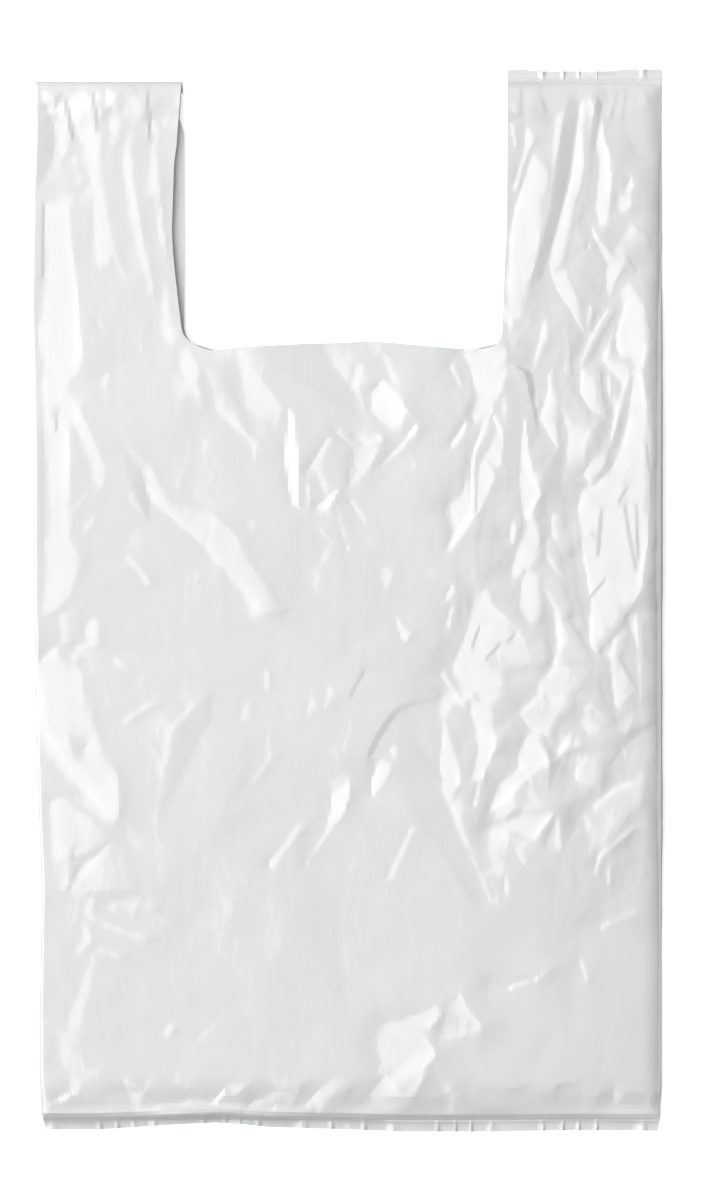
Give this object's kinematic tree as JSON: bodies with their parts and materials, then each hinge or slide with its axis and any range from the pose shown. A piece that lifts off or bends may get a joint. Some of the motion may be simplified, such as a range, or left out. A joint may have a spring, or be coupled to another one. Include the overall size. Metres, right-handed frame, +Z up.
{
  "type": "plastic carrier bag",
  "caption": "Vest-style carrier bag of thin white film with side gussets, a welded bottom and two die-cut handles, lying flat.",
  "frame": {"origin": "on the surface that the bag lies on, under the middle of its outline", "axes": "+X across the bag, +Y from the bottom weld to the handles, +Z up out of the front panel"},
  "size_m": [0.28, 0.474, 0.0119],
  "materials": {
    "white_film": "glossy, slightly crumpled thin film"
  },
  "bodies": {
    "root": {"bag_film": "white_film"}
  },
  "joints": []
}
